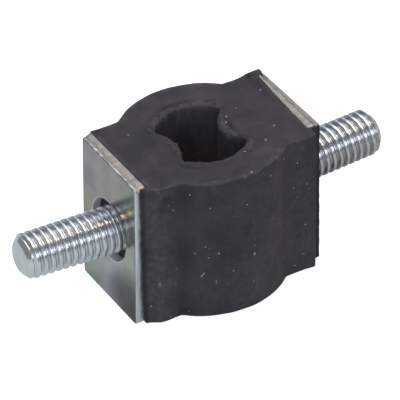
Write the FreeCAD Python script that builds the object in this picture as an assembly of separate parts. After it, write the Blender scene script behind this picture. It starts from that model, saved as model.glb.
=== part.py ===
import FreeCAD, Part
import math
import os

# Rubber anti-vibration mount: a bulged rubber block between two steel plates, with a bolt out of each
# end. All sizes are in millimetres. X runs along the bolts, Z is up, and the plates' lower edges are
# at Z = 0. The middle of the rubber is at X = 0 and Y = 0.

# Overall
BODY_LENGTH = 26.0          # over the outer faces of the two plates

# End plates
PLATE_THICKNESS = 1.5
PLATE_WIDTH = 12.8
PLATE_HEIGHT = 20.5
PLATE_CORNER_RADIUS = 0.4
PLATE_SHIFT = 0.5           # the plates sit this far behind the middle of the rubber
PLATE_HOLE_DIAMETER = 8.2
PLATE_HOLE_CHAMFER = 0.15

# Bolts, M6
STUD_DIAMETER = 6.0
STUD_REACH = 12.2           # free length outside the plate
BOLT_OFF_BACK = 0.1         # the bolts and the plates' holes sit this far behind the plates' middle
BOLT_OFF_UP = 0.15          # and this far above it
STUD_TIP_DIAMETER = 4.3
STUD_TIP_LENGTH = 1.0
NECK_DIAMETER = 5.35        # unthreaded neck under the head, out to the plate's outer face
HEAD_ACROSS_FLATS = 10.0
HEAD_HEIGHT = 4.0
HEAD_CHAMFER_DEGREES = 30.0
HEAD_SETBACK = 0.6          # rubber between the plate and the bolt head
BOLT_LEAN_DEGREES = 3.2     # both bolts lean toward +Y, about the plate's hole

# Rubber
RUBBER_WIDTH = 15.0         # over the flats beside the bulges
BULGE_WIDTH = 20.8          # over the two bulges
BULGE_CHORD = 15.0          # length of each bulge along X
BULGE_ROOT_RADIUS = 1.2     # hollow where a bulge meets a flat
RUBBER_TOP_GAP = 0.1        # the rubber ends this far below the plates' upper edges
RUBBER_FOOT_GAP = 0.25      # and this far above their lower edges
LIP_LEFT_FRONT = 0.6        # rubber lapped over the plates' side edges
LIP_LEFT_BACK = 0.2
LIP_RIGHT_FRONT = 0.25
LIP_RIGHT_BACK = 0.5
LIP_COVER_LEFT = 0.8        # how much of the plate's thickness the lips cover
LIP_COVER_RIGHT = 1.5
SHOULDER_LEFT = 1.4         # length of the slope from the left end of the flats down to the lips
OVERRUN_RIGHT = 0.2         # the flats run this far past the inner face of the right plate
PLUG_DEPTH = 0.5            # rubber inside the plate's hole, from the plate's inner face

# Upright hole through the rubber
HOLE_DIAMETER = 11.2
HOLE_SHIFT = -0.5           # along X, from the middle of the rubber
PAD_GAP = 7.0               # between the two pads
PAD_RADIUS = 5.0
HOLE_CORNER_RADIUS = 0.5

# Derived
OUTER_X = BODY_LENGTH / 2
INNER_X = OUTER_X - PLATE_THICKNESS
MID_Z = PLATE_HEIGHT / 2
BOLT_Y = PLATE_SHIFT + BOLT_OFF_BACK
BOLT_Z = MID_Z + BOLT_OFF_UP
UP = FreeCAD.Vector(0, 0, 1)
ALONG = FreeCAD.Vector(1, 0, 0)
LEFT = -1
RIGHT = 1


def upright_edges(solid, keep):
    """The straight edges along Z for which keep(x, y) is true."""
    found = []
    for edge in solid.Edges:
        start = edge.Vertexes[0].Point
        end = edge.Vertexes[-1].Point
        is_upright = abs(start.x - end.x) < 1e-6 and abs(start.y - end.y) < 1e-6
        if is_upright and abs(start.z - end.z) > 1e-6 and keep(start.x, start.y):
            found.append(edge)
    return found


def to_side(shape, side):
    """A shape drawn at the right end, mirrored to the left end when side is LEFT."""
    placed = shape.copy()
    if side == LEFT:
        placed = placed.mirror(FreeCAD.Vector(0, 0, 0), ALONG)
    return placed


def plate_blank():
    """Sheared rectangle of sheet steel with slightly rounded corners, before its hole is punched."""
    corner = FreeCAD.Vector(INNER_X, PLATE_SHIFT - PLATE_WIDTH / 2, 0)
    blank = Part.makeBox(PLATE_THICKNESS, PLATE_WIDTH, PLATE_HEIGHT, corner)
    corners = [edge for edge in blank.Edges
               if abs(edge.Vertexes[0].Point.x - edge.Vertexes[-1].Point.x) > 1e-6]
    return blank.makeFillet(PLATE_CORNER_RADIUS, corners)


def end_plate(side):
    """The blank with a round clearance hole, its outer rim lightly chamfered."""
    hole_radius = PLATE_HOLE_DIAMETER / 2
    centre = FreeCAD.Vector(INNER_X, BOLT_Y, BOLT_Z)
    hole = Part.makeCylinder(hole_radius, PLATE_THICKNESS, centre, ALONG)
    rim_start = FreeCAD.Vector(OUTER_X - PLATE_HOLE_CHAMFER, BOLT_Y, BOLT_Z)
    rim = Part.makeCone(hole_radius, hole_radius + PLATE_HOLE_CHAMFER, PLATE_HOLE_CHAMFER, rim_start, ALONG)
    plate = plate_blank().cut(hole).cut(rim)
    return to_side(plate, side)


def bolt_shank():
    """Shank along +X from the head's seat at 0: a thinner neck, then the major diameter, then the tip."""
    neck_length = PLATE_THICKNESS + HEAD_SETBACK
    length = STUD_REACH + neck_length
    radius = STUD_DIAMETER / 2
    neck_radius = NECK_DIAMETER / 2
    tip_radius = STUD_TIP_DIAMETER / 2
    outline = Part.makePolygon([
        FreeCAD.Vector(0, 0, 0),
        FreeCAD.Vector(0, neck_radius, 0),
        FreeCAD.Vector(neck_length - (radius - neck_radius), neck_radius, 0),
        FreeCAD.Vector(neck_length, radius, 0),
        FreeCAD.Vector(length - STUD_TIP_LENGTH, radius, 0),
        FreeCAD.Vector(length, tip_radius, 0),
        FreeCAD.Vector(length, 0, 0),
        FreeCAD.Vector(0, 0, 0),
    ])
    return Part.Face(outline).revolve(FreeCAD.Vector(0, 0, 0), ALONG, 360)


def bolt_head():
    """Hexagonal head behind 0, with the corners of its far face turned off."""
    corner_radius = HEAD_ACROSS_FLATS / math.sqrt(3)
    corners = []
    for index in range(7):
        angle = math.radians(60 * index)
        corners.append(FreeCAD.Vector(0, corner_radius * math.cos(angle), corner_radius * math.sin(angle)))
    hexagon = Part.Face(Part.makePolygon(corners)).extrude(FreeCAD.Vector(-HEAD_HEIGHT, 0, 0))
    rise = (corner_radius - HEAD_ACROSS_FLATS / 2) * math.tan(math.radians(HEAD_CHAMFER_DEGREES))
    outline = Part.makePolygon([
        FreeCAD.Vector(0, 0, 0),
        FreeCAD.Vector(0, corner_radius, 0),
        FreeCAD.Vector(rise - HEAD_HEIGHT, corner_radius, 0),
        FreeCAD.Vector(-HEAD_HEIGHT, HEAD_ACROSS_FLATS / 2, 0),
        FreeCAD.Vector(-HEAD_HEIGHT, 0, 0),
        FreeCAD.Vector(0, 0, 0),
    ])
    turned = Part.Face(outline).revolve(FreeCAD.Vector(0, 0, 0), ALONG, 360)
    return hexagon.common(turned)


def stud(side):
    """The whole bolt, leaning a little toward +Y about the plate's hole."""
    bolt = bolt_shank().fuse(bolt_head()).removeSplitter()
    bolt.translate(FreeCAD.Vector(INNER_X - HEAD_SETBACK, BOLT_Y, BOLT_Z))
    bolt.rotate(FreeCAD.Vector(OUTER_X, BOLT_Y, BOLT_Z), UP, BOLT_LEAN_DEGREES)
    return to_side(bolt, side)


def side_profile(y_sign, lip_left, lip_right):
    """Lines and arc of one long side of the rubber, from the left end to the right end."""
    flat = y_sign * RUBBER_WIDTH / 2
    apex = y_sign * BULGE_WIDTH / 2
    plate_edge = PLATE_SHIFT + y_sign * PLATE_WIDTH / 2
    lip_left_y = plate_edge + y_sign * lip_left
    lip_right_y = plate_edge + y_sign * lip_right
    chord = BULGE_CHORD / 2
    left_end = FreeCAD.Vector(-INNER_X - LIP_COVER_LEFT, lip_left_y, 0)
    left_lip = FreeCAD.Vector(-INNER_X, lip_left_y, 0)
    left_flat = FreeCAD.Vector(SHOULDER_LEFT - INNER_X, flat, 0)
    left_root = FreeCAD.Vector(-chord, flat, 0)
    middle = FreeCAD.Vector(0, apex, 0)
    right_root = FreeCAD.Vector(chord, flat, 0)
    right_flat = FreeCAD.Vector(INNER_X + OVERRUN_RIGHT, flat, 0)
    right_lip = FreeCAD.Vector(INNER_X + OVERRUN_RIGHT, lip_right_y, 0)
    right_end = FreeCAD.Vector(INNER_X + LIP_COVER_RIGHT, lip_right_y, 0)
    edges = [
        Part.makeLine(left_end, left_lip),
        Part.makeLine(left_lip, left_flat),
        Part.makeLine(left_flat, left_root),
        Part.Arc(left_root, middle, right_root).toShape(),
        Part.makeLine(right_root, right_flat),
        Part.makeLine(right_flat, right_lip),
        Part.makeLine(right_lip, right_end),
    ]
    return edges, left_end, right_end


def rubber_block():
    """The moulded outline, extruded upward and softened where the bulges meet the flats."""
    front, front_left, front_right = side_profile(-1, LIP_LEFT_FRONT, LIP_RIGHT_FRONT)
    back, back_left, back_right = side_profile(1, LIP_LEFT_BACK, LIP_RIGHT_BACK)
    ends = [Part.makeLine(front_left, back_left), Part.makeLine(front_right, back_right)]
    outline = Part.Wire(Part.__sortEdges__(front + back + ends))
    height = PLATE_HEIGHT - RUBBER_TOP_GAP - RUBBER_FOOT_GAP
    block = Part.Face(outline).extrude(FreeCAD.Vector(0, 0, height))
    block.translate(FreeCAD.Vector(0, 0, RUBBER_FOOT_GAP))

    def is_root(x, y):
        return abs(abs(x) - BULGE_CHORD / 2) < 1e-6 and abs(abs(y) - RUBBER_WIDTH / 2) < 1e-6

    return block.makeFillet(BULGE_ROOT_RADIUS, upright_edges(block, is_root))


def upright_hole():
    """Round hole narrowed by a convex pad on each side, with softened corners."""
    foot = FreeCAD.Vector(HOLE_SHIFT, 0, 0)
    hole = Part.makeCylinder(HOLE_DIAMETER / 2, PLATE_HEIGHT, foot, UP)
    for side in (LEFT, RIGHT):
        pad_x = HOLE_SHIFT + side * (PAD_GAP / 2 + PAD_RADIUS)
        hole = hole.cut(Part.makeCylinder(PAD_RADIUS, PLATE_HEIGHT, FreeCAD.Vector(pad_x, 0, 0), UP))

    def is_corner(x, y):
        return abs(x - HOLE_SHIFT) > PAD_GAP / 2 and abs(y) > HOLE_CORNER_RADIUS

    return hole.makeFillet(HOLE_CORNER_RADIUS, upright_edges(hole, is_corner))


def hole_plug(side):
    """Rubber that flowed into the plate's hole round the bolt."""
    centre = FreeCAD.Vector(INNER_X, BOLT_Y, BOLT_Z)
    return to_side(Part.makeCylinder(PLATE_HOLE_DIAMETER / 2, PLUG_DEPTH, centre, ALONG), side)


def rubber_body(bolts):
    """The rubber block with its hole, moulded round the plates and the bolts."""
    body = rubber_block().cut(upright_hole())
    for side in (LEFT, RIGHT):
        body = body.cut(to_side(plate_blank(), side)).fuse(hole_plug(side))
    for bolt in bolts:
        body = body.cut(bolt)
    return body.removeSplitter()


os.makedirs("parts", exist_ok=True)

stud_left = stud(LEFT)
stud_right = stud(RIGHT)
rubber = rubber_body([stud_left, stud_right])
end_plate_left = end_plate(LEFT)
end_plate_right = end_plate(RIGHT)

rubber.exportStep("parts/rubber_body.step")
end_plate_left.exportStep("parts/end_plate_left.step")
end_plate_right.exportStep("parts/end_plate_right.step")
stud_left.exportStep("parts/stud_left.step")
stud_right.exportStep("parts/stud_right.step")
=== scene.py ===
import math

import bpy
from mathutils import Matrix, Vector, noise


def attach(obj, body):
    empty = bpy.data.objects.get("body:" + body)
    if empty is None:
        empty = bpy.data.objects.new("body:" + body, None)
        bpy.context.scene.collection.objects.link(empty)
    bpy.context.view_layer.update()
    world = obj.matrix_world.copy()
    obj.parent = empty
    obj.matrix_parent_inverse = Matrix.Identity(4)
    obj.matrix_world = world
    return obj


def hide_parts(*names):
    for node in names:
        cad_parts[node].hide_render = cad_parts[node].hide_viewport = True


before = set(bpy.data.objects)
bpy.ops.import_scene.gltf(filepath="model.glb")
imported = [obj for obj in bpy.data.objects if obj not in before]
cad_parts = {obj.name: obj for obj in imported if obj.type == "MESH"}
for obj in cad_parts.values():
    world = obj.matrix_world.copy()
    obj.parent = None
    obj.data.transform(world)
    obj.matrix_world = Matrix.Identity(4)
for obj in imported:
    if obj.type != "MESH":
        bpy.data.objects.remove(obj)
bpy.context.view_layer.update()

# A rubber anti-vibration mount, dressed over its CAD solids. Lengths below are in millimetres, and
# mesh points are turned into metres when a piece is made. X runs along the bolts and Z is up.
MM = 0.001
LEFT = -1
RIGHT = 1
FRONT = -1
BACK = 1

# Plates and bolts, as in the CAD model
OUTER_X = 13.0
INNER_X = 11.5
SHEET = OUTER_X - INNER_X
PLATE_SHIFT = 0.5
PLATE_WIDTH = 12.8
PLATE_HEIGHT = 20.5
PLATE_HOLE_RADIUS = 4.1
MID_Z = PLATE_HEIGHT / 2
BOLT_Y = 0.6
BOLT_Z = 10.4
BOLT_LEAN = math.radians(3.2)
STUD_REACH = 12.2

# How far the front edge of each plate stands outward, its back edge as much inward
TOE = {LEFT: 0.10, RIGHT: 0.20}

# The left plate's upper back corner flares this far to the back, over this much of its height
FLARE = 0.55
FLARE_HEIGHT = 3.0

# Cut edge of the plates from the outer face inward, first the burr, then the groove of the upper edge:
# the depth of each loop, how far it is drawn in all round, its roughness and how deep the groove is
BURR_PROFILE = ((0.0, 0.16, 0.01, 0.0), (0.03, 0.06, 0.03, 0.0), (0.12, 0.0, 0.04, 0.0))
GROOVE_PROFILE = ((0.28, 0.0, 0.04, 0.0), (0.36, 0.0, 0.04, 0.20), (0.48, 0.0, 0.05, 0.20),
                  (0.60, 0.0, 0.05, 0.03))
LAND_START = 0.60
LAND_LENGTH = 0.80

# Thread of the bolts, M6 x 1.0, right-hand, and the turn at which each starts
PITCH = 1.0
CREST_AT_PLATE = 3.02
CREST_AT_TIP = 2.93
CREST_SHARE = 0.18
THREAD_DEPTH = 0.38
THREAD_TURN = {LEFT: 0.89, RIGHT: 0.25}
TIP_RADIUS = 2.05
TIP_LENGTH = 0.9

# Painted shade, darker and bluer, in the roots of each thread: its share all round, and the places round
# the bolt where it is deepest, an angle from the back upward and a width, both in radians. Then how much
# darker and bluer the cut face of the tip is.
ROOT_SHADE = {LEFT: 0.20, RIGHT: 0.36}
DEEPEST_ROOT_SHADE = {LEFT: ((0.85, 0.42),), RIGHT: ((0.85, 0.42), (-2.15, 0.75))}
TIP_DARKENING = 0.14

# Painted reflection on the left plate: dark at its lower front corner and bright in a band round it, both
# ending this far from it
LOW_FRONT_CORNER = (-OUTER_X, -5.0, 1.6)
PAINTED_REFLECTION_REACH = 14.0

# Rubber block
FLAT_Y = 7.5
APEX_Y = 10.4
CHORD_X = 7.5
ROOT_FILLET = 0.8
RUBBER_TOP = 20.4
RUBBER_FOOT = 0.25
LEFT_FLAT_END = 10.7
RIGHT_FLAT_END = 11.7

# Rubber lapped over the side edges of the plates: its thickness at each edge
LIP = {(LEFT, FRONT): 0.6, (LEFT, BACK): 0.15, (RIGHT, FRONT): 0.14, (RIGHT, BACK): 0.7}

# How far the top's back corner reaches over the right plate, and how much higher its lap is there
CORNER_LAP = 1.3
LAP_RISE = 0.14

# Torn flash round the hole, the groove behind it and the raised rim along the outer edge of the top, with
# a painted highlight on the flash and rim and painted shade in the groove, then how deep the top is
# bevelled at the pads and the highest that the flash may reach
FLASH_FROM_HOLE = 0.42
FLASH_WIDTH = 0.26
FLASH_HEIGHT = 0.15
GROOVE_FROM_HOLE = 1.15
GROOVE_WIDTH = 0.28
GROOVE_DEPTH = 0.12
RIM_FROM_EDGE = 0.2
RIM_WIDTH = 0.3
RIM_HEIGHT = 0.03
PAD_BEVEL = 0.20
HIGHEST_FLASH = RUBBER_TOP + 0.17

# Rubber in a plate's hole: x and radius of its loops round the bolt, from the back outward
PLUG_PROFILE = ((11.2, 4.3), (11.45, 4.11), (11.75, 4.05), (11.9, 3.7), (11.9, 3.1), (11.8, 2.6),
                (11.2, 2.45))

# Upright hole: a circle cut into by two pads, each given by its centre from the hole's and its radius
HOLE_X = -0.15
HOLE_RADIUS = 5.7
PADS = ((-8.45, -0.1, 4.9), (6.45, -0.4, 3.8))

# Points round the block and round each plate, rows over a rounded edge, and a plate's corner radius
EDGE_STEPS = 4
BLOCK_COLUMNS = 480
PLATE_COLUMNS = 360
PLATE_CORNER = 0.35

# Dust and dark marks on the front wall, each grain or mark with its x, z and radius
FRONT_DUST = (
    (-6.7, 18.9, 0.13), (0.1, 16.2, 0.12), (-3.6, 9.8, 0.15), (-5.1, 11.0, 0.12), (1.2, 8.2, 0.17),
    (-6.2, 10.0, 0.10), (-10.5, 6.2, 0.12), (9.0, 17.2, 0.12), (10.2, 7.3, 0.10), (-11.4, 2.8, 0.12),
    (-1.8, 6.7, 0.10), (-4.7, 10.7, 0.08), (-3.9, 5.6, 0.10),
)
DARK_MARKS = (
    (0.35, 12.7, 0.45), (0.15, 11.9, 0.30), (-7.3, 1.1, 0.50), (-9.6, 18.6, 0.70), (-10.2, 17.6, 0.50),
)
# How much paler the left flat of the front wall is
LEFT_FLAT_PALENESS = 0.40

# Dust on the top, each grain with its x, y and radius
TOP_DUST = (
    (8.3, -3.2, 0.16), (5.9, -5.2, 0.15), (2.5, -5.9, 0.14), (4.3, 1.4, 0.13), (3.6, 0.4, 0.15),
    (1.0, -9.9, 0.16), (10.7, 3.9, 0.10), (6.2, 2.2, 0.10), (-7.9, 4.4, 0.10),
)
FINE_FRONT_GRAINS = 30
BACK_GRAINS = 14

# Finish of the dust, after the rubber's, and the finishes of the plates
DUST = 1
FACE = 0
SHEARED = 1
PUNCHED = 2
BURR = 3
UPRIGHT = 4

# The floor is white to the camera. In mirrored rays it glows slightly blue at the left, and that glow
# fades to nothing between these two places along X.
FLOOR_GREY = 0.50
CAMERA_WHITE = 0.87
MIRROR_GLOW = 0.27
MIRROR_TINT = (0.70, 0.90, 1.0, 1.0)
GLOW_FADES_FROM = -4.0
GLOW_GONE_AT = 14.0


def wobble(point, size, seed):
    """Smooth noise from -1 to 1 with features of about the given size in millimetres."""
    place = Vector(point) / size + Vector((seed * 7.3, seed * 3.1, seed * 5.7))
    return noise.noise(place)


def bell(value, middle, width):
    """A smooth hump of height 1."""
    return math.exp(-((value - middle) / width) ** 2)


def clamp(value):
    """A value held between 0 and 1."""
    return min(max(value, 0.0), 1.0)


def past(value, place, sharpness=1.0):
    """0 well before a place and 1 well past it."""
    return 0.5 + 0.5 * math.tanh(sharpness * (value - place))


class Shell:
    """Points and faces of one piece, gathered from closed parts, with a finish for each face.

    A point may carry its tone as a fourth value, from -1 for darker, as marks and painted shade are, to 1
    for paler, as scuffs and painted light are.
    """

    def __init__(self):
        self.points = []
        self.wear_and_painted_light = []
        self.faces = []
        self.finishes = []

    def add_rows(self, rows, ring=False, finish_of_row=None, flip=False):
        """Rows of points, each a closed loop. A ring joins its last row to its first, and any other
        part has both of them capped."""
        start = len(self.points)
        columns = len(rows[0])
        for row in rows:
            for point in row:
                self.points.append(point[:3])
                self.wear_and_painted_light.append(0.5 + 0.5 * point[3] if len(point) > 3 else 0.5)
        bands = len(rows) if ring else len(rows) - 1
        for band in range(bands):
            finish = finish_of_row(band) if finish_of_row else 0
            this = start + band * columns
            following = start + ((band + 1) % len(rows)) * columns
            for column in range(columns):
                beside = (column + 1) % columns
                face = (this + column, this + beside, following + beside, following + column)
                self.add_face(face, finish, flip)
        if not ring:
            self.add_cap(start, columns, finish_of_row(0) if finish_of_row else 0, not flip)
            last = start + (len(rows) - 1) * columns
            self.add_cap(last, columns, finish_of_row(bands - 1) if finish_of_row else 0, flip)

    def add_face(self, face, finish, flip):
        """One face, turned over if asked."""
        self.faces.append(tuple(reversed(face)) if flip else face)
        self.finishes.append(finish)

    def add_cap(self, first, columns, finish, flip):
        """A fan of triangles over one loop."""
        loop = self.points[first:first + columns]
        hub = len(self.points)
        self.points.append(tuple(sum(point[axis] for point in loop) / columns for axis in range(3)))
        self.wear_and_painted_light.append(sum(self.wear_and_painted_light[first:first + columns]) / columns)
        for column in range(columns):
            face = (hub, first + column, first + (column + 1) % columns)
            self.add_face(face, finish, flip)

    def make(self, name, node, materials):
        """The mesh piece in metres. It rides with the part and stands for a CAD node."""
        mesh = bpy.data.meshes.new(name)
        mesh.from_pydata([Vector(point) * MM for point in self.points], [], self.faces)
        mesh.update()
        for material in materials:
            mesh.materials.append(material)
        mesh.polygons.foreach_set("use_smooth", [True] * len(mesh.polygons))
        mesh.polygons.foreach_set("material_index", self.finishes)
        layer = mesh.attributes.new("wear_and_painted_light", "FLOAT", "POINT")
        layer.data.foreach_set("value", self.wear_and_painted_light)
        piece = bpy.data.objects.new(name, mesh)
        bpy.context.scene.collection.objects.link(piece)
        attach(piece, "root")
        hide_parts(node)
        return piece


def spaced(points, count):
    """The closed line through points, as count points at even distances."""
    lengths = []
    for index, point in enumerate(points):
        following = points[(index + 1) % len(points)]
        lengths.append(math.dist(point, following))
    total = sum(lengths)
    found = []
    index = 0
    walked = 0.0
    for step in range(count):
        target = total * step / count
        while walked + lengths[index] < target:
            walked += lengths[index]
            index += 1
        part = (target - walked) / lengths[index]
        start = points[index]
        end = points[(index + 1) % len(points)]
        found.append((start[0] + (end[0] - start[0]) * part, start[1] + (end[1] - start[1]) * part))
    return found


def rounded_box(low_a, high_a, low_b, high_b, corner, count):
    """A closed rounded rectangle of count points, anticlockwise in its own plane."""
    points = []
    for index, (a_sign, b_sign) in enumerate(((1, -1), (1, 1), (-1, 1), (-1, -1))):
        middle_a = (high_a - corner) if a_sign > 0 else (low_a + corner)
        middle_b = (high_b - corner) if b_sign > 0 else (low_b + corner)
        for step in range(6):
            angle = math.pi / 2 * (index - 1 + step / 5)
            points.append((middle_a + corner * math.cos(angle), middle_b + corner * math.sin(angle)))
    return spaced(points, count)


# Materials

def node_material(name):
    """A node material and its Principled shader."""
    material = bpy.data.materials.new(name)
    material.use_nodes = True
    tree = material.node_tree
    return material, tree, tree.nodes["Principled BSDF"]


def add_noise(tree, scale, detail=4.0, roughness=0.55, stretch=None):
    """A noise texture in object space, in features per metre, and stretched along the axes if asked."""
    place = tree.nodes.new("ShaderNodeTexCoord")
    texture = tree.nodes.new("ShaderNodeTexNoise")
    texture.inputs["Scale"].default_value = scale
    texture.inputs["Detail"].default_value = detail
    texture.inputs["Roughness"].default_value = roughness
    source = place.outputs["Object"]
    if stretch:
        mapping = tree.nodes.new("ShaderNodeMapping")
        mapping.inputs["Scale"].default_value = stretch
        tree.links.new(source, mapping.inputs["Vector"])
        source = mapping.outputs["Vector"]
    tree.links.new(source, texture.inputs["Vector"])
    return texture.outputs["Fac"]


def add_ramp(tree, source, stops):
    """A colour ramp on a value. Each stop is a position and a colour."""
    ramp = tree.nodes.new("ShaderNodeValToRGB")
    while len(ramp.color_ramp.elements) < len(stops):
        ramp.color_ramp.elements.new(0.5)
    for element, (position, colour) in zip(ramp.color_ramp.elements, stops):
        element.position = position
        element.color = (*colour, 1.0)
    tree.links.new(source, ramp.inputs["Fac"])
    return ramp.outputs["Color"]


def add_mix(tree, first, second, factor):
    """Two colour sources mixed by a factor source, or multiplied where the factor is none."""
    mix = tree.nodes.new("ShaderNodeMix")
    mix.data_type = "RGBA"
    if factor:
        tree.links.new(factor, mix.inputs[0])
    else:
        mix.blend_type = "MULTIPLY"
        mix.inputs[0].default_value = 1.0
    tree.links.new(first, mix.inputs[6])
    tree.links.new(second, mix.inputs[7])
    return mix.outputs[2]


def add_varied(tree, source, socket, low, high, spread=(0.3, 0.7)):
    """A socket that follows a noise source from one colour to another."""
    tree.links.new(add_ramp(tree, source, [(spread[0], low), (spread[1], high)]), socket)


def add_wear_and_painted_light(tree):
    """The tone attribute of the surface, with real marks and painted light in it: 0 where dark or painted
    shaded, 0.5 where plain and 1 where pale or painted lit.
    """
    wear_and_painted_light = tree.nodes.new("ShaderNodeAttribute")
    wear_and_painted_light.attribute_name = "wear_and_painted_light"
    return wear_and_painted_light.outputs["Fac"]


def add_math(tree, operation, first, second):
    """Arithmetic on two sources, of which the second may be a number."""
    node = tree.nodes.new("ShaderNodeMath")
    node.operation = operation
    tree.links.new(first, node.inputs[0])
    if isinstance(second, float):
        node.inputs[1].default_value = second
    else:
        tree.links.new(second, node.inputs[1])
    return node.outputs["Value"]


def add_distance(tree, centre):
    """Distance from a place given in millimetres, as 0 at the place and 1 from PAINTED_REFLECTION_REACH
    on.
    """
    place = tree.nodes.new("ShaderNodeTexCoord")
    away = tree.nodes.new("ShaderNodeVectorMath")
    away.operation = "DISTANCE"
    away.inputs[1].default_value = Vector(centre) * MM
    tree.links.new(place.outputs["Object"], away.inputs[0])
    return add_math(tree, "DIVIDE", away.outputs["Value"], PAINTED_REFLECTION_REACH * MM)


def add_bump(tree, shader, heights):
    """Bumps in a chain. Each height is a source, a strength and a depth in metres."""
    normal = None
    for source, strength, depth in heights:
        bump = tree.nodes.new("ShaderNodeBump")
        bump.inputs["Strength"].default_value = strength
        bump.inputs["Distance"].default_value = depth
        tree.links.new(source, bump.inputs["Height"])
        if normal:
            tree.links.new(normal, bump.inputs["Normal"])
        normal = bump.outputs["Normal"]
    tree.links.new(normal, shader.inputs["Normal"])


def grey(value):
    """A neutral colour."""
    return (value, value, value)


def marked_material(name, metallic, texture, colours, roughness, bump, spread=(0.3, 0.7)):
    """A material whose colour, roughness and bump follow one noise, given by its settings."""
    material, tree, shader = node_material(name)
    shader.inputs["Metallic"].default_value = metallic
    marks = add_noise(tree, *texture)
    add_varied(tree, marks, shader.inputs["Base Color"], *colours, spread)
    add_varied(tree, marks, shader.inputs["Roughness"], grey(roughness[0]), grey(roughness[1]))
    add_bump(tree, shader, [(marks, *bump)])
    return material


def rubber_material():
    """Matt black moulded rubber, mottled and dusty, paler where it is scuffed and where light is painted
    on, darker in its marks and where shade is painted on.
    """
    material, tree, shader = node_material("moulded_rubber")
    clouds = add_ramp(tree, add_noise(tree, 240.0, 5.0, 0.6), [
        (0.28, (0.024, 0.022, 0.033)),
        (0.50, (0.035, 0.032, 0.043)),
        (0.72, (0.053, 0.047, 0.057)),
    ])
    bands = add_noise(tree, 90.0, 2.0, 0.5, (1.0, 1.0, 0.35))
    tone = add_ramp(tree, bands, [(0.35, (0.78, 0.78, 0.80)), (0.65, (1.0, 1.0, 1.0))])
    clouds = add_mix(tree, clouds, tone, None)
    fine = add_noise(tree, 1400.0, 3.0, 0.6)
    paler = add_ramp(tree, fine, [(0.0, (0.030, 0.030, 0.036)), (1.0, (0.075, 0.072, 0.078))])
    film = add_ramp(tree, fine, [(0.55, grey(0.0)), (0.85, grey(0.55))])
    dusty = add_mix(tree, clouds, paler, film)
    # The attribute's pale end gives scuffs and painted light, its dark end marks and painted shade
    wear_and_painted_light = add_wear_and_painted_light(tree)
    pale_tone = add_ramp(tree, fine, [(0.3, (0.060, 0.056, 0.064)), (0.7, (0.134, 0.127, 0.138))])
    worn_and_lit = add_ramp(tree, wear_and_painted_light, [(0.5, grey(0.0)), (1.0, grey(1.0))])
    lighter = add_mix(tree, dusty, pale_tone, worn_and_lit)
    shade = add_ramp(tree, fine, [(0.3, (0.010, 0.010, 0.012)), (0.7, (0.016, 0.015, 0.018))])
    deep = add_ramp(tree, wear_and_painted_light, [(0.0, grey(1.0)), (0.5, grey(0.0))])
    tree.links.new(add_mix(tree, lighter, shade, deep), shader.inputs["Base Color"])
    patches = add_noise(tree, 420.0, 3.0)
    add_varied(tree, patches, shader.inputs["Roughness"], grey(0.52), grey(0.68))
    shader.inputs["Specular IOR Level"].default_value = 0.30
    grain = add_noise(tree, 5200.0, 3.0)
    dents = add_noise(tree, 900.0, 4.0)
    add_bump(tree, shader, [(dents, 0.45, 0.00012), (grain, 0.30, 0.00003)])
    return material


def dust_material():
    """Pale grey dust and lint."""
    colours = ((0.22, 0.22, 0.24), (0.45, 0.45, 0.48))
    return marked_material("dust", 0.0, (3000.0, 2.0), colours, (0.7, 0.9), (0.4, 0.00004))


def plate_material():
    """Dull zinc on rolled sheet steel, with faint violet and green stains, and a painted reflection at the
    left plate's lower front corner: dark there and bright in a band round it.
    """
    material, tree, shader = node_material("plate_zinc")
    shader.inputs["Metallic"].default_value = 1.0
    stains = add_ramp(tree, add_noise(tree, 130.0, 3.0, 0.5), [
        (0.34, (0.318, 0.272, 0.325)),
        (0.50, (0.368, 0.345, 0.342)),
        (0.64, (0.330, 0.368, 0.292)),
    ])
    clouds = add_noise(tree, 520.0, 4.0)
    shade = add_ramp(tree, clouds, [(0.25, grey(0.78)), (0.75, grey(1.0))])
    stained = add_mix(tree, stains, shade, None)
    # Painted reflection: dark at the left plate's lower front corner, bright in a band round it
    low_front = add_distance(tree, LOW_FRONT_CORNER)
    painted_reflection = add_ramp(tree, low_front, [
        (0.0, grey(0.26)),
        (0.22, grey(0.52)),
        (0.46, grey(1.55)),
        (0.65, grey(1.20)),
        (1.0, grey(1.0)),
    ])
    tree.links.new(add_mix(tree, stained, painted_reflection, None), shader.inputs["Base Color"])
    marks = add_noise(tree, 900.0, 5.0, 0.6, (1.0, 3.0, 0.5))
    add_varied(tree, marks, shader.inputs["Roughness"], grey(0.14), grey(0.24))
    pits = add_noise(tree, 2600.0, 3.0)
    add_bump(tree, shader, [(marks, 0.12, 0.00004), (pits, 0.10, 0.00002)])
    return material


def sheared_material():
    """The rough, bright cut edge of the sheet, with shear marks across its thickness."""
    material, tree, shader = node_material("sheared_edge")
    shader.inputs["Metallic"].default_value = 1.0
    marks = add_noise(tree, 1500.0, 4.0, 0.6, (0.25, 1.0, 1.0))
    add_varied(tree, marks, shader.inputs["Base Color"], (0.24, 0.23, 0.22), (0.44, 0.42, 0.40))
    add_varied(tree, marks, shader.inputs["Roughness"], grey(0.36), grey(0.52))
    grain = add_noise(tree, 4000.0, 3.0)
    add_bump(tree, shader, [(marks, 0.35, 0.00006), (grain, 0.2, 0.00002)])
    return material


def burr_material():
    """The bright, broken burr along the outer edges of the plate."""
    texture = (1100.0, 4.0, 0.65)
    colours = ((0.36, 0.35, 0.34), (0.86, 0.85, 0.82))
    broken = (0.42, 0.58)
    return marked_material("bright_burr", 1.0, texture, colours, (0.30, 0.45), (0.3, 0.00005), broken)


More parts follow.
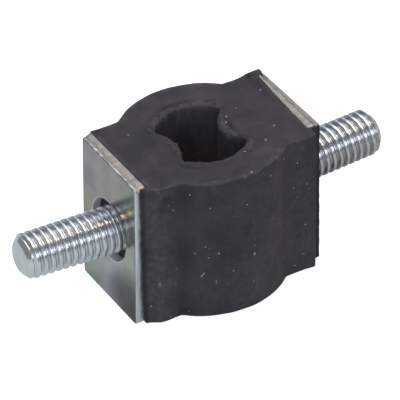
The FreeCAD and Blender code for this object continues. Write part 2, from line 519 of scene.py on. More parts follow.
def side_edge_material():
    """The smoother upright edges of the plate, pale with light dust."""
    texture = (900.0, 4.0, 0.6, (1.0, 1.0, 0.3))
    colours = ((0.55, 0.60, 0.65), (0.72, 0.78, 0.83))
    return marked_material("upright_edge", 0.9, texture, colours, (0.36, 0.50), (0.25, 0.00005))


def punched_material():
    """The torn, matt wall of the punched hole, coloured near white as a painted light where the bolt
    shades it.
    """
    colours = ((0.76, 0.72, 0.80), (0.92, 0.89, 0.95))
    return marked_material("punched_wall_painted_light", 0.0, (1300.0, 4.0), colours, (0.5, 0.65), (0.4, 0.00008))


def bolt_material():
    """Bright zinc with painted shade, darker and bluer, toward the roots of the thread, and darker and
    bluer on the cut face of the tip.
    """
    material, tree, shader = node_material("bolt_zinc")
    shader.inputs["Metallic"].default_value = 1.0
    clouds = add_noise(tree, 700.0, 4.0)
    colour = add_ramp(tree, clouds, [(0.3, (0.61, 0.64, 0.67)), (0.7, (0.72, 0.75, 0.78))])
    # Painted shade, darker and bluer, toward the thread's roots; the tip's cut face is darker and bluer
    # too
    depth = add_ramp(tree, add_wear_and_painted_light(tree), [(0.0, (0.20, 0.26, 0.42)), (0.5, grey(1.0))])
    tree.links.new(add_mix(tree, colour, depth, None), shader.inputs["Base Color"])
    marks = add_noise(tree, 1800.0, 4.0)
    add_varied(tree, marks, shader.inputs["Roughness"], grey(0.18), grey(0.27))
    pits = add_noise(tree, 2400.0, 2.0)
    add_bump(tree, shader, [(pits, 0.06, 0.00002)])
    return material


def floor_material():
    """Pale floor, lifted to white for the camera, that keeps a soft shadow under the part."""
    material, tree, shader = node_material("pale_floor")
    shader.inputs["Base Color"].default_value = (*grey(FLOOR_GREY), 1.0)
    shader.inputs["Roughness"].default_value = 0.9
    shader.inputs["Specular IOR Level"].default_value = 0.1
    place = tree.nodes.new("ShaderNodeTexCoord")
    apart = tree.nodes.new("ShaderNodeSeparateXYZ")
    tree.links.new(place.outputs["Object"], apart.inputs["Vector"])
    fade = tree.nodes.new("ShaderNodeMapRange")
    fade.inputs["From Min"].default_value = GLOW_FADES_FROM * MM
    fade.inputs["From Max"].default_value = GLOW_GONE_AT * MM
    fade.inputs["To Min"].default_value = MIRROR_GLOW
    fade.inputs["To Max"].default_value = 0.0
    tree.links.new(apart.outputs["X"], fade.inputs["Value"])
    path = tree.nodes.new("ShaderNodeLightPath")
    rays = path.outputs
    reflected = add_math(tree, "MAXIMUM", rays["Is Glossy Ray"], rays["Is Transmission Ray"])
    mirrored = add_math(tree, "MULTIPLY", reflected, fade.outputs["Result"])
    lift = add_math(tree, "MULTIPLY", rays["Is Camera Ray"], CAMERA_WHITE)
    surface = shader.outputs["BSDF"]
    for strength, colour in ((lift, (1.0, 1.0, 1.0, 1.0)), (mirrored, MIRROR_TINT)):
        glow = tree.nodes.new("ShaderNodeEmission")
        glow.inputs["Color"].default_value = colour
        tree.links.new(strength, glow.inputs["Strength"])
        both = tree.nodes.new("ShaderNodeAddShader")
        tree.links.new(surface, both.inputs[0])
        tree.links.new(glow.outputs["Emission"], both.inputs[1])
        surface = both.outputs["Shader"]
    tree.links.new(surface, tree.nodes["Material Output"].inputs["Surface"])
    return material


# Rubber body

def half_side():
    """Half of a long side, from the top of the bulge to the flat: an arc and a hollow."""
    rise = APEX_Y - FLAT_Y
    radius = (CHORD_X ** 2 + rise ** 2) / (2 * rise)
    middle_y = APEX_Y - radius
    hollow_y = FLAT_Y + ROOT_FILLET
    hollow_x = math.sqrt((radius + ROOT_FILLET) ** 2 - (hollow_y - middle_y) ** 2)
    meet = math.atan2(hollow_y - middle_y, hollow_x)
    points = []
    arc_steps = 40
    for step in range(arc_steps + 1):
        angle = math.pi / 2 + (meet - math.pi / 2) * step / arc_steps
        points.append((radius * math.cos(angle), middle_y + radius * math.sin(angle)))
    hollow_steps = 8
    for step in range(1, hollow_steps + 1):
        angle = math.pi + meet + (math.pi / 2 - meet) * step / hollow_steps
        points.append((hollow_x + ROOT_FILLET * math.cos(angle), hollow_y + ROOT_FILLET * math.sin(angle)))
    return points


def long_side(y_sign):
    """One long side of the block from left to right, with its shoulders at the plates."""
    edge_y = y_sign * PLATE_SHIFT + PLATE_WIDTH / 2
    right_drift = 0.15 if y_sign == BACK else 0.0
    half = half_side()
    if y_sign == FRONT:
        left = [
            (-INNER_X + 0.05, edge_y + 0.80),
            (-LEFT_FLAT_END - 0.2, edge_y + 1.15),
            (-LEFT_FLAT_END + 0.3, FLAT_Y - 0.1),
            (-LEFT_FLAT_END + 1.0, FLAT_Y),
        ]
    else:
        left = [
            (-INNER_X + 0.05, FLAT_Y - 0.08),
            (-LEFT_FLAT_END, FLAT_Y - 0.02),
            (-LEFT_FLAT_END + 1.5, FLAT_Y),
        ]
    right = [
        (RIGHT_FLAT_END, FLAT_Y + right_drift),
        (RIGHT_FLAT_END + 0.02, edge_y + 0.1),
        (INNER_X - 0.05, edge_y - 0.1),
    ]
    if y_sign == BACK:
        right = [(INNER_X - 0.05, FLAT_Y + right_drift), (INNER_X - 0.04, edge_y)]
    bulge = [(-x, y) for x, y in reversed(half)] + half[1:]
    return [(x, y * y_sign) for x, y in left + bulge + right]


def pad_distance(angle, pad_x, pad_y, pad_radius):
    """Distance from the hole's middle to a pad's curve along a ray, or none if the ray misses it."""
    along = pad_x * math.cos(angle) + pad_y * math.sin(angle)
    square = along ** 2 - (pad_x ** 2 + pad_y ** 2 - pad_radius ** 2)
    if along <= 0 or square <= 0:
        return None
    return along - math.sqrt(square)


def hole_reach(angle):
    """Distance from the hole's middle to its wall: round, less the two pads."""
    reach = HOLE_RADIUS
    for pad in PADS:
        to_pad = pad_distance(angle, *pad)
        if to_pad:
            reach = min(reach, to_pad)
    return reach


def hole_point(angle):
    """A point on the hole's outline, its corners softened by averaging over a few degrees."""
    apart = math.radians(0.7)
    to_side = 4
    reaches = [hole_reach(angle + apart * step) for step in range(-to_side, to_side + 1)]
    reach = sum(reaches) / len(reaches)
    return (HOLE_X + reach * math.cos(angle), reach * math.sin(angle))


def front_marks_and_light(x, y, z):
    """Tone of the front wall, the same for the block and its lip: painted light all over, most low down
    and toward the right, painted shade at the left hollow, a paler left flat and dark marks.
    """
    # Painted light low down and toward the right, painted shade at the left hollow near x -7.2
    wear_and_painted_light = 0.10 + 0.12 * bell(z, 4.0, 4.5) - 0.22 * bell(x, -7.2, 0.9) + 0.10 * bell(x, 5.5, 5.0)
    wear_and_painted_light += LEFT_FLAT_PALENESS * bell(x, -10.6, 1.7) * (0.8 + 0.6 * wobble((x, y, z), 1.1, 26))
    for mark_x, mark_z, size in DARK_MARKS:
        wear_and_painted_light -= 0.6 * bell(math.dist((x, z), (mark_x, mark_z)), 0.0, size)
    return wear_and_painted_light


class Block:
    """The plan of the rubber block, and the rows of points over it."""

    def __init__(self, columns):
        front = long_side(FRONT)
        back = long_side(BACK)
        self.columns = columns
        self.outer = spaced(front + back[::-1], columns)
        self.inner = [hole_point(math.atan2(y, x - HOLE_X)) for x, y in self.outer]
        self.inward = []
        for index in range(columns):
            before = self.outer[index - 1]
            after = self.outer[(index + 1) % columns]
            run = Vector((after[0] - before[0], after[1] - before[1])).normalized()
            self.inward.append(Vector((-run.y, run.x)))
        self.top_z = [0.0] * columns

    def edge(self, index, top):
        """Radius of the rounded edge at a column: uneven, and nearly sharp toward the plates."""
        x, y = self.outer[index]
        soft = 0.5 + 0.5 * wobble((x, y, 40.0 if top else 0.0), 1.6, 1)
        clear = clamp((INNER_X - 0.1 - abs(x)) / 1.4)
        sharpest = 0.04
        uneven = 0.26 if top else 0.20
        return sharpest + (0.06 + uneven * soft) * clear

    def overlap(self, index):
        """How far the top laps over the right plate at a column: most at the back, none at the front."""
        x, y = self.outer[index]
        if y > FLAT_Y:
            lap_start = 9.0
            return CORNER_LAP * clamp((x - lap_start) / (INNER_X - 0.05 - lap_start)) ** 2
        if x < INNER_X - 0.1:
            return 0.0
        along = max(0.0, (y - PLATE_SHIFT) / PLATE_WIDTH + 0.5)
        lap = max(0.0, 0.44 * along ** 1.2 - 0.02 + 0.05 * wobble((0.0, y, 0.0), 0.8, 17))
        return lap + (CORNER_LAP - lap) * clamp((y - 6.3) / 0.9)

    def torn_rim(self, index):
        """How far the hole's upper rim is torn back at a column."""
        x, y = self.inner[index]
        small = (0.26 - 0.12 * past(x, -1.5)) * wobble((x, y, 3.0), 0.50, 16)
        return small + 0.11 * wobble((x, y, 3.0), 1.4, 19)

    def flash(self, index):
        """How far the thin torn flash stands out along the top edge."""
        x, y = self.outer[index]
        return 0.10 * max(0.0, 0.25 + wobble((x, y, 20.0), 1.1, 11) + 0.6 * wobble((x, y, 20.0), 3.2, 12))

    def drawn_in(self, index, depth):
        """The outline's point at a column, moved inward by a depth."""
        x, y = self.outer[index]
        return x + self.inward[index].x * depth, y + self.inward[index].y * depth

    def face_point(self, index, part, top):
        """A point of a flat face, from the hole at 0 to the outer edge at 1, and its two distances."""
        outer_x, outer_y = self.drawn_in(index, self.edge(index, top))
        if top:
            outer_x += self.overlap(index)
        inner_x, inner_y = self.inner[index]
        torn = self.torn_rim(index) if top else 0.0
        away = Vector((inner_x - HOLE_X, inner_y)).normalized() * (0.12 + torn)
        inner_x += away.x
        inner_y += away.y
        x = inner_x + (outer_x - inner_x) * part
        y = inner_y + (outer_y - inner_y) * part
        return x, y, math.dist((x, y), (inner_x, inner_y)), math.dist((x, y), (outer_x, outer_y))

    def top_marks(self, x, y, from_hole, from_edge):
        """Height over the flat top and tone at a point: torn flash and rim with a painted highlight, the
        groove behind the flash with painted shade, pale specks and dark pits.
        """
        swell = max(0.0, 0.55 + 0.9 * wobble((x, y, 3.0), 1.3, 2) + 0.9 * wobble((x, y, 3.0), 0.45, 13))
        ridge = swell * bell(from_hole, FLASH_FROM_HOLE, FLASH_WIDTH)
        groove = max(0.0, 0.6 + 1.2 * wobble((x, y, 7.0), 1.8, 14))
        groove *= bell(from_hole, GROOVE_FROM_HOLE, GROOVE_WIDTH)
        rim = max(0.0, 0.4 + wobble((x, y, 8.0), 1.2, 15)) * bell(from_edge, RIM_FROM_EDGE, RIM_WIDTH)
        uneven = 0.035 * wobble((x, y, 9.0), 2.2, 3) + 0.02 * wobble((x, y, 5.0), 0.8, 4)
        on_pad = bell(y, 0.0, 3.2) * (abs(x) < INNER_X - 4)
        bevel = PAD_BEVEL * on_pad * max(0.0, 1 - from_hole / 0.6)
        height = FLASH_HEIGHT * ridge - GROOVE_DEPTH * groove + RIM_HEIGHT * rim + uneven - bevel
        right = past(x, 2.2, 2.0)
        torn = 0.25 + 0.75 * max(right, past(y, 1.0))
        speckle = max(0.0, wobble((x, y, 11.0), 0.28, 24)) * bell(from_hole, 0.5, 0.5)
        pit = max(0.0, wobble((x, y, 12.0), 0.6, 25) - 0.1) * bell(from_hole, 0.8, 0.6)
        # Painted highlight on the flash ridge and the rim, painted shade in the groove
        wear_and_painted_light = torn * (0.5 * ridge * (1 - 0.6 * right) + 0.5 * speckle - 2.4 * pit)
        wear_and_painted_light += 0.5 * rim - 0.7 * groove + 0.2 * right * bell(from_hole, 0.6, 0.6)
        return height, wear_and_painted_light

    def top_point(self, even, index):
        """A point of the top, from the hole at 0 outward. It rises where it laps over the right plate."""
        part = 0.75 * (0.5 - 0.5 * math.cos(math.pi * even)) + 0.25 * even
        x, y, from_hole, from_edge = self.face_point(index, part, True)
        height, wear_and_painted_light = self.top_marks(x, y, from_hole, from_edge)
        toward_plate = clamp((x - INNER_X + 1.4) / 1.4)
        z = RUBBER_TOP + height + LAP_RISE * toward_plate ** 2
        return x, y, min(z, HIGHEST_FLASH), wear_and_painted_light

    def wall_point(self, even, index):
        """A point of the outer wall, downward from 0, a little uneven and drawn in below the flash."""
        high = self.top_z[index] - self.edge(index, True)
        low = RUBBER_FOOT + self.edge(index, False)
        z = high + (low - high) * even ** 1.5
        x, y = self.outer[index]
        fall = high - z
        depth = 0.045 * wobble((x, y, z), 2.6, 5) + 0.02 * wobble((x, y, z), 0.9, 6)
        depth *= min(1.0, 3.0 * min(fall, z - low))
        depth -= self.flash(index) * bell(fall, 0.0, 0.09)
        depth += 0.5 * self.flash(index) * bell(fall, 0.3, 0.12)
        x, y = self.drawn_in(index, depth)
        wear_and_painted_light = 0.1 * bell(fall, 0.0, 0.1)
        if y < 0:
            wear_and_painted_light += front_marks_and_light(x, y, z)
        return x, y, z, wear_and_painted_light

    def foot_point(self, even, index):
        """A point of the foot, from the outside at 0 to the hole."""
        x, y, _, _ = self.face_point(index, 1 - even, False)
        return x, y, RUBBER_FOOT + 0.02 + 0.03 * wobble((x, y, 0.0), 2.0, 7)

    def hole_wall_point(self, even, index):
        """A point of the hole's wall, upward from 0. It is painted paler lower down, where it would else
        come out darker than in the photo, and has pale streaks near its top."""
        x, y = self.inner[index]
        z = RUBBER_FOOT + 0.2 + (RUBBER_TOP - RUBBER_FOOT - 0.35) * even
        out = Vector((x - HOLE_X, y)).normalized()
        depth = 0.06 * wobble((x, y, z), 2.4, 8) + self.torn_rim(index) * bell(z, RUBBER_TOP, 0.7)
        streak = max(0.0, wobble((x, y, z / 6), 0.5, 21)) * max(0.0, 1 - (RUBBER_TOP - z) / 9)
        # Painted light: paler lower down, against the shade deep in the hole
        wear_and_painted_light = 0.04 + 0.8 * min(1.0, (RUBBER_TOP - z) / 13) + 0.6 * streak
        return x + out.x * depth, y + out.y * depth, z, wear_and_painted_light

    def top_edge_point(self, even, index):
        """A point of the rounded upper edge, paler in places, with the flash that stands out of it."""
        edge = self.edge(index, True)
        turn = math.pi / 2 * even * EDGE_STEPS / (EDGE_STEPS + 1)
        x, y = self.drawn_in(index, edge * (1 - math.sin(turn)) - self.flash(index) * even)
        x += self.overlap(index)
        pale_tone = max(0.0, 0.25 + 0.9 * wobble((x, y, 31.0), 0.9, 22)) * past(x, -6.5)
        return x, y, self.top_z[index] - edge * (1 - math.cos(turn)), pale_tone

    def foot_edge_point(self, even, index):
        """A point of the rounded lower edge."""
        edge = self.edge(index, False)
        turn = math.pi / 2 * even * EDGE_STEPS / (EDGE_STEPS + 1)
        x, y = self.drawn_in(index, edge * (1 - math.cos(turn)))
        return x, y, RUBBER_FOOT + edge * (1 - math.sin(turn))

    def loops(self, steps, point_at, start=0):
        """Rows of points, each made by a function of the row's share from 0 to 1 and of the column."""
        rows = []
        for step in range(start, steps + 1):
            rows.append([point_at(step / steps, index) for index in range(self.columns)])
        return rows

    def rows(self):
        """All rows from the hole outward, down, inward below and up again, which close to a ring."""
        top = self.loops(38, self.top_point)
        self.top_z = [point[2] for point in top[-1]]
        top_edge = self.loops(EDGE_STEPS, self.top_edge_point, start=1)
        wall = self.loops(58, self.wall_point)
        foot_edge = self.loops(EDGE_STEPS, self.foot_edge_point, start=1)
        foot = self.loops(10, self.foot_point)
        hole_wall = self.loops(24, self.hole_wall_point)
        return top + top_edge + wall + foot_edge + foot + hole_wall


def toe_shift(side, x, y):
    """How far a plate's point at depth x and at y stands outward, because the plate is a little askew."""
    depth = clamp((x - INNER_X) / SHEET)
    return side * TOE[side] * depth * (PLATE_SHIFT - y) / (PLATE_WIDTH / 2)


def lip_rows(side, y_sign):
    """The lip of rubber that laps over a plate's side edge, with an uneven edge and painted shade along
    the outer edge of each front lip.
    """
    columns = 32
    steps = 70
    seed = 10 + side + 2 * y_sign
    corner = (side, y_sign)
    thickness = LIP[corner]
    top = PLATE_HEIGHT - 0.01 if corner == (RIGHT, BACK) else RUBBER_TOP
    inner_y = PLATE_SHIFT + y_sign * PLATE_WIDTH / 2
    outer_y = inner_y + y_sign * thickness
    root_x = INNER_X - 0.7
    rows = []
    for step in range(steps + 1):
        rise = step / steps
        z = RUBBER_FOOT + (top - RUBBER_FOOT) * rise
        cover = 1.47 if side == RIGHT else 0.46 + 0.36 * rise ** 0.6
        if corner == (LEFT, BACK):
            cover = 0.2
        cover += 0.07 * wobble((side * 3.0, y_sign * 3.0, z), 0.9, seed)
        reach_x = INNER_X + min(cover, SHEET - 0.01)
        low_x, high_x = sorted((side * root_x, side * reach_x))
        low_y, high_y = sorted((inner_y, outer_y))
        row = []
        for x, y in rounded_box(low_x, high_x, low_y, high_y, min(0.14, thickness * 0.45), columns):
            bulge = 0.0
            if abs(y - inner_y) > 0.5 * thickness:
                bulge = 0.03 * wobble((x, y, z), 1.3, seed)
                if corner == (LEFT, FRONT):
                    bulge += 0.38 * (reach_x - abs(x)) / 1.2
            wear_and_painted_light = 0.0
            # Painted shade along the outer edge of each front lip, with a pale line beside it on the right
            # one
            if corner == (LEFT, FRONT):
                wear_and_painted_light = front_marks_and_light(x, y, z) - 0.7 * bell(abs(x), reach_x, 0.25)
            if corner == (RIGHT, FRONT):
                wear_and_painted_light = 0.12 * bell(x, OUTER_X - 0.62, 0.12) - 0.9 * bell(x, OUTER_X, 0.34)
            row.append((x + toe_shift(side, abs(x), y), y + y_sign * bulge, z, wear_and_painted_light))
        rows.append(row)
    return rows


def plug_rows(side):
    """Rubber in a plate's hole: loops round the bolt, from the back outward, with an uneven face."""
    columns = 96
    rows = []
    for x, radius in PLUG_PROFILE:
        row = []
        for column in range(columns):
            angle = 2 * math.pi * column / columns
            swell = 0.0
            if radius < 4.0:
                swell = 0.3 * wobble((math.cos(angle) * 4, math.sin(angle) * 4, x), 2.0, 20 + side)
            y = BOLT_Y + radius * math.cos(angle)
            z = BOLT_Z + radius * math.sin(angle)
            row.append((side * (x + swell), y, z))
        rows.append(row)
    return rows


def speck_rows(place, outward, radius, seed, stretch=None):
    """A flat grain of dust that lies on a surface, or a lint fibre when it is stretched."""
    outward = Vector(outward).normalized()
    along = Vector(stretch).normalized() if stretch else outward.orthogonal().normalized()
    across = outward.cross(along)
    length = Vector(stretch).length if stretch else radius
    rows = []
    rings = 5
    columns = 8
    for ring in range(1, rings + 1):
        tilt = math.pi * ring / (rings + 1)
        row = []
        for column in range(columns):
            angle = 2 * math.pi * column / columns
            uneven = 1.0 + 0.3 * wobble((seed, angle, tilt), 1.0, 40)
            spread_along = length * math.sin(tilt) * math.cos(angle) * uneven
            spread_across = radius * math.sin(tilt) * math.sin(angle) * uneven
            height = 0.45 * radius * math.cos(tilt)
            spot = Vector(place) + along * spread_along + across * spread_across + outward * height
            row.append(tuple(spot))
        rows.append(row)
    return rows


def wall_place(x, y_sign):
    """The y of the block's long side at x, and the outward direction there."""
    line = long_side(y_sign)
    for start, end in zip(line, line[1:]):
        if start[0] <= x < end[0]:
            part = (x - start[0]) / (end[0] - start[0])
            y = start[1] + (end[1] - start[1]) * part
            run = Vector((end[0] - start[0], end[1] - start[1], 0.0))
            return y, Vector((run.y, -run.x, 0.0)) * -y_sign
    return y_sign * FLAT_Y, Vector((0.0, y_sign, 0.0))


def add_grain(shell, place, outward, radius, seed, stretch=None):
    """One grain or fibre of dust, as a closed part of the shell."""
    rows = speck_rows(place, outward, radius, seed, stretch)
    shell.add_rows(rows, finish_of_row=lambda band: DUST)


def add_wall_grain(shell, x, z, y_sign, radius, seed, stretch=None):
    """A grain or fibre on a long side of the block."""
    y, outward = wall_place(x, y_sign)
    add_grain(shell, (x, y, z), outward, radius, seed, stretch)


def add_dust(shell):
    """Grains and one fibre where the photograph shows them, then finer ones on the front, and the back."""
    for index, (x, z, radius) in enumerate(FRONT_DUST):
        add_wall_grain(shell, x, z, FRONT, radius, index)
    for index, (x, y, radius) in enumerate(TOP_DUST):
        add_grain(shell, (x, y, RUBBER_TOP + 0.02), (0.0, 0.0, 1.0), radius, 30 + index)
    for index in range(FINE_FRONT_GRAINS):
        x = 0.5 + 9.9 * math.sin(index * 2.39 + 0.4)
        z = 10.0 + 9.2 * math.sin(index * 1.73 + 0.2)
        add_wall_grain(shell, x, z, FRONT, 0.05 + 0.045 * math.sin(index * 1.3) ** 2, 120 + index)
    for index in range(BACK_GRAINS):
        x = 9.5 * math.sin(index * 2.4)
        z = 10.2 + 8.5 * math.sin(index * 1.7 + 1.0)
        add_wall_grain(shell, x, z, BACK, 0.08 + 0.05 * math.sin(index) ** 2, 60 + index)
    add_wall_grain(shell, -5.4, 6.7, FRONT, 0.07, 90, stretch=(0.28, -0.15, 0.42))


def rubber_piece(rubber, dust):
    """The moulded block with the lips that lap over the plates and the rubber in their holes."""
    shell = Shell()
    shell.add_rows(Block(BLOCK_COLUMNS).rows(), ring=True)
    for side in (LEFT, RIGHT):
        for y_sign in (FRONT, BACK):
            shell.add_rows(lip_rows(side, y_sign))
        shell.add_rows(plug_rows(side), ring=True, flip=side == LEFT)
    add_dust(shell)
    shell.make("moulded_block", "rubber_body", [rubber, dust])


# Plates

class Plate:
    """Loops of points over one end plate: outer face, sheared edge, inner face and hole wall."""

    def __init__(self, side, columns):
        self.side = side
        half_y = PLATE_WIDTH / 2
        half_z = PLATE_HEIGHT / 2
        self.outline = rounded_box(-half_y, half_y, -half_z, half_z, PLATE_CORNER, columns)
        self.rows = []
        self.finishes = []

    def add_loop(self, x, part, inset, rough, finish, groove=0.0):
        """A loop between the hole at 0 and the plate's outline at 1, drawn in all round by inset, or
        along the upper edge alone by groove."""
        row = []
        for y, z in self.outline:
            angle = math.atan2(z, y)
            hole_y = BOLT_Y - PLATE_SHIFT + (PLATE_HOLE_RADIUS + 0.15) * math.cos(angle)
            hole_z = BOLT_Z - MID_Z + (PLATE_HOLE_RADIUS + 0.15) * math.sin(angle)
            if groove:
                inset = groove * clamp((z - PLATE_HEIGHT / 2 + 0.4) / 0.3)
            edge_y = y * (1 - inset / (PLATE_WIDTH / 2))
            edge_z = z * (1 - inset / (PLATE_HEIGHT / 2))
            ragged = rough * wobble((x * 3, y, z), 0.7, 30 + self.side)
            at_y = hole_y + (edge_y - hole_y) * part + ragged * math.cos(angle)
            at_z = hole_z + (edge_z - hole_z) * part + ragged * math.sin(angle)
            self.add_point(row, x, PLATE_SHIFT + at_y, MID_Z + at_z)
        self.rows.append(row)
        # The right plate's edge shows no bright burr
        self.finishes.append(SHEARED if finish == BURR and self.side == RIGHT else finish)

    def add_hole_loop(self, x, radius):
        """A loop on the punched wall of the hole."""
        row = []
        for y, z in self.outline:
            angle = math.atan2(z, y)
            reach = radius + 0.025 * wobble((x * 2, y, z), 1.2, 33)
            self.add_point(row, x, BOLT_Y + reach * math.cos(angle), BOLT_Z + reach * math.sin(angle))
        self.rows.append(row)
        self.finishes.append(PUNCHED)

    def add_point(self, row, x, y, z):
        """A point of the plate, askew as the plate is and never below the floor, with its flare."""
        if self.side == LEFT:
            inward = (OUTER_X - x) / SHEET
            raised = clamp((z - PLATE_HEIGHT + FLARE_HEIGHT) / FLARE_HEIGHT)
            backward = clamp(y - PLATE_SHIFT - PLATE_WIDTH / 2 + 1.0)
            y += FLARE * inward * raised * backward
        row.append((self.side * x + toe_shift(self.side, x, y), y, max(z, 0.0)))

    def build(self):
        """All loops, which close to a ring."""
        face_steps = 24
        for step in range(face_steps + 1):
            self.add_loop(OUTER_X - 0.01, 0.985 * step / face_steps, 0.0, 0.0, FACE)
        for finish, profile in ((BURR, BURR_PROFILE), (SHEARED, GROOVE_PROFILE)):
            for depth, inset, rough, groove in profile:
                self.add_loop(OUTER_X - depth, 1, inset, rough, finish, groove)
        land_steps = 6
        for step in range(1, land_steps + 1):
            depth = LAND_START + LAND_LENGTH * step / land_steps
            self.add_loop(OUTER_X - depth, 1, 0.02, 0.05, SHEARED)
        self.add_loop(INNER_X + 0.02, 1, 0.12, 0.02, SHEARED)
        inner_steps = 8
        for step in range(inner_steps + 1):
            self.add_loop(INNER_X, 0.98 * (1 - step / inner_steps), 0.0, 0.0, FACE)
        for depth in (SHEET, 1.0, 0.6, 0.25, 0.1):
            self.add_hole_loop(OUTER_X - depth, PLATE_HOLE_RADIUS)
        self.add_hole_loop(OUTER_X - 0.03, PLATE_HOLE_RADIUS + 0.05)
        return self.rows

    def finish_of_row(self, band):
        """The finish of the faces that start at a loop."""
        return self.finishes[band]


def plate_piece(name, side, materials, node):
    """One sheared end plate. Its cut edges have the upright finish, apart from the upper and lower one."""
    plate = Plate(side, PLATE_COLUMNS)
    rows = plate.build()
    shell = Shell()
    shell.add_rows(rows, ring=True, finish_of_row=plate.finish_of_row, flip=side == RIGHT)
    for index, face in enumerate(shell.faces):
        middle_z = sum(shell.points[corner][2] for corner in face) / len(face)
        on_edge = shell.finishes[index] in (SHEARED, BURR)
        if on_edge and 0.2 < middle_z < PLATE_HEIGHT - 0.35:
            shell.finishes[index] = UPRIGHT
    shell.make(name, node, materials)


# Bolts

def thread_dip(phase):
    """How deep the thread is at a phase from 0 to 1: narrow crest, sloping flanks, rounded root."""
    away = abs(phase - 0.5) * 2
    if away < CREST_SHARE:
        return 0.0
    return 0.5 - 0.5 * math.cos(math.pi * (away - CREST_SHARE) / (1 - CREST_SHARE))


def painted_root_shade(side, angle):
    """How much shade is painted into the thread's roots at an angle round the bolt."""
    shade_share = ROOT_SHADE[side]
    for middle, width in DEEPEST_ROOT_SHADE[side]:
        away = math.remainder(angle - middle, 2 * math.pi)
        shade_share += (1 - shade_share) * bell(away, 0.0, width)
    return shade_share


def bolt_rows(side):
    """Loops along a threaded bolt, from inside the rubber to its chamfered tip."""
    columns = 72
    per_pitch = 56
    start = -1.6
    straight = 0.85
    count = int((STUD_REACH - start) / PITCH * per_pitch)
    rows = []
    for step in range(count + 1):
        along = start + (STUD_REACH - start) * step / count
        crest = CREST_AT_PLATE + (CREST_AT_TIP - CREST_AT_PLATE) * max(along, 0.0) / STUD_REACH
        to_tip = min((STUD_REACH - along) / TIP_LENGTH, 1.0)
        swell = straight * to_tip + (1 - straight) * math.sqrt(1 - (1 - to_tip) ** 2)
        cone = TIP_RADIUS + swell * (crest + 0.05 - TIP_RADIUS)
        row = []
        for column in range(columns):
            angle = 2 * math.pi * column / columns
            phase = (side * along / PITCH - angle / (2 * math.pi) + THREAD_TURN[side]) % 1.0
            radius = min(crest - THREAD_DEPTH * thread_dip(phase), cone)
            radius += 0.004 * wobble((along * 2, math.cos(angle) * 5, math.sin(angle) * 5), 1.1, 50 + side)
            place = (side * along, radius * math.cos(angle), radius * math.sin(angle))
            # Painted shade in the thread's roots, most at the places in DEEPEST_ROOT_SHADE
            sunk = (crest - radius) / THREAD_DEPTH if to_tip == 1.0 else 0.0
            row.append((*place, -painted_root_shade(side, angle) * sunk))
        rows.append(row)
    tip = rows[-1]
    # The cut face of the tip is darker and bluer
    for inset, sink in ((0.06, -0.04), (0.5, -0.05), (1.3, -0.03)):
        shrink = (TIP_RADIUS - inset) / TIP_RADIUS
        row = []
        for x, y, z, _ in tip:
            dent = 0.01 * wobble((y, z, inset), 0.9, 60 + side)
            row.append((x - side * (sink + dent), y * shrink, z * shrink, -TIP_DARKENING))
        rows.append(row)
    return rows


def bolt_piece(name, side, material, node):
    """One threaded bolt, leaning a little toward the back."""
    tilt = Matrix.Rotation(side * BOLT_LEAN, 4, "Z")
    shift = Vector((side * OUTER_X, BOLT_Y, BOLT_Z))
    rows = []
    for row in bolt_rows(side):
        rows.append([(*(shift + tilt @ Vector((x, y, z))), wear_and_painted_light) for x, y, z, wear_and_painted_light in row])
    shell = Shell()
    shell.add_rows(rows, flip=side == RIGHT)
    shell.make(name, node, [material])


# Floor, light and camera

def floor_piece(material):
    """A wide plain floor at the level of the plates' lower edges."""
    size = 4.0
    corners = [(-size, -size, 0), (size, -size, 0), (size, size, 0), (-size, size, 0)]
    mesh = bpy.data.meshes.new("floor")
    mesh.from_pydata([Vector(corner) for corner in corners], [], [(0, 1, 2, 3)])
    floor = bpy.data.objects.new("floor", mesh)
    mesh.materials.append(material)
    bpy.context.scene.collection.objects.link(floor)


def soft_box(name, azimuth, elevation, distance, width, height, power, colour):
    """An area lamp that looks at the part. Azimuth 0 is toward -Y and 90 toward +X."""
    lamp = bpy.data.lights.new(name, "AREA")
    lamp.shape = "RECTANGLE"
    lamp.size = width
    lamp.size_y = height
    lamp.energy = power
    lamp.color = colour
    holder = bpy.data.objects.new(name, lamp)
    turn = math.radians(azimuth)
    lift = math.radians(elevation)
    away = Vector((math.sin(turn) * math.cos(lift), -math.cos(turn) * math.cos(lift), math.sin(lift)))
    holder.location = Vector((0, 0, 0.01)) + away * distance
    holder.rotation_mode = "QUATERNION"
    holder.rotation_quaternion = away.to_track_quat("Z", "Y")
    bpy.context.scene.collection.objects.link(holder)


def studio_world(strength):
    """A plain, even room light, slightly cool."""
    world = bpy.data.worlds.new("studio")
    world.use_nodes = True
    background = world.node_tree.nodes["Background"]
    background.inputs["Color"].default_value = (0.88, 0.93, 1.0, 1.0)
    background.inputs["Strength"].default_value = strength
    bpy.context.scene.world = world


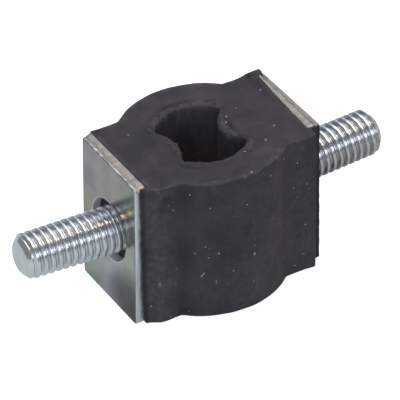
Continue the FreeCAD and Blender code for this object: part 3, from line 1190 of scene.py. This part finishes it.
def photo_camera():
    """A long lens from the front left, looking down on the part."""
    azimuth = math.radians(30.88)
    elevation = math.radians(37.01)
    roll = math.radians(-0.29)
    distance = 1.147
    back = Vector((-math.sin(azimuth) * math.cos(elevation), -math.cos(azimuth) * math.cos(elevation),
                   math.sin(elevation)))
    data = bpy.data.cameras.new("camera")
    data.sensor_width = 36.0
    data.lens = 842.0
    data.shift_x = -0.0011
    data.shift_y = -0.0057
    camera = bpy.data.objects.new("camera", data)
    camera.location = Vector((0, PLATE_SHIFT * MM, MID_Z * MM)) + back * distance
    camera.rotation_mode = "QUATERNION"
    rolled = Matrix.Rotation(roll, 4, "Z").to_quaternion()
    camera.rotation_quaternion = back.to_track_quat("Z", "Y") @ rolled
    bpy.context.scene.collection.objects.link(camera)
    bpy.context.scene.camera = camera


bpy.context.scene.view_settings.view_transform = "Standard"
photo_camera()
studio_world(0.27)
soft_box("top_box", 104, 65, 0.6, 0.60, 0.32, 1.62, (1.0, 0.92, 0.80))
soft_box("front_box", 27, 25, 0.7, 0.34, 0.15, 0.60, (1.0, 0.96, 0.90))
soft_box("key_box", -145, 52, 0.7, 0.40, 0.30, 0.70, (0.90, 0.95, 1.0))
soft_box("fill_box", -35, 22, 0.7, 0.50, 0.35, 1.25, (0.81, 0.90, 1.0))
soft_box("warm_box", -67, 61, 0.7, 0.17, 0.13, 0.90, (1.0, 0.83, 0.58))
soft_box("back_box", 149, 36, 0.7, 0.45, 0.18, 0.30, (1.0, 0.97, 0.94))
soft_box("low_back_box", 152, 12, 0.7, 0.50, 0.12, 0.26, (0.60, 0.78, 1.0))

rubber_finish = rubber_material()
dust_finish = dust_material()
plate_finishes = [plate_material(), sheared_material(), punched_material(), burr_material(),
                  side_edge_material()]
bolt_finish = bolt_material()

floor_piece(floor_material())
rubber_piece(rubber_finish, dust_finish)
plate_piece("plate_left", LEFT, plate_finishes, "end_plate_left")
plate_piece("plate_right", RIGHT, plate_finishes, "end_plate_right")
bolt_piece("threaded_stud_left", LEFT, bolt_finish, "stud_left")
bolt_piece("threaded_stud_right", RIGHT, bolt_finish, "stud_right")
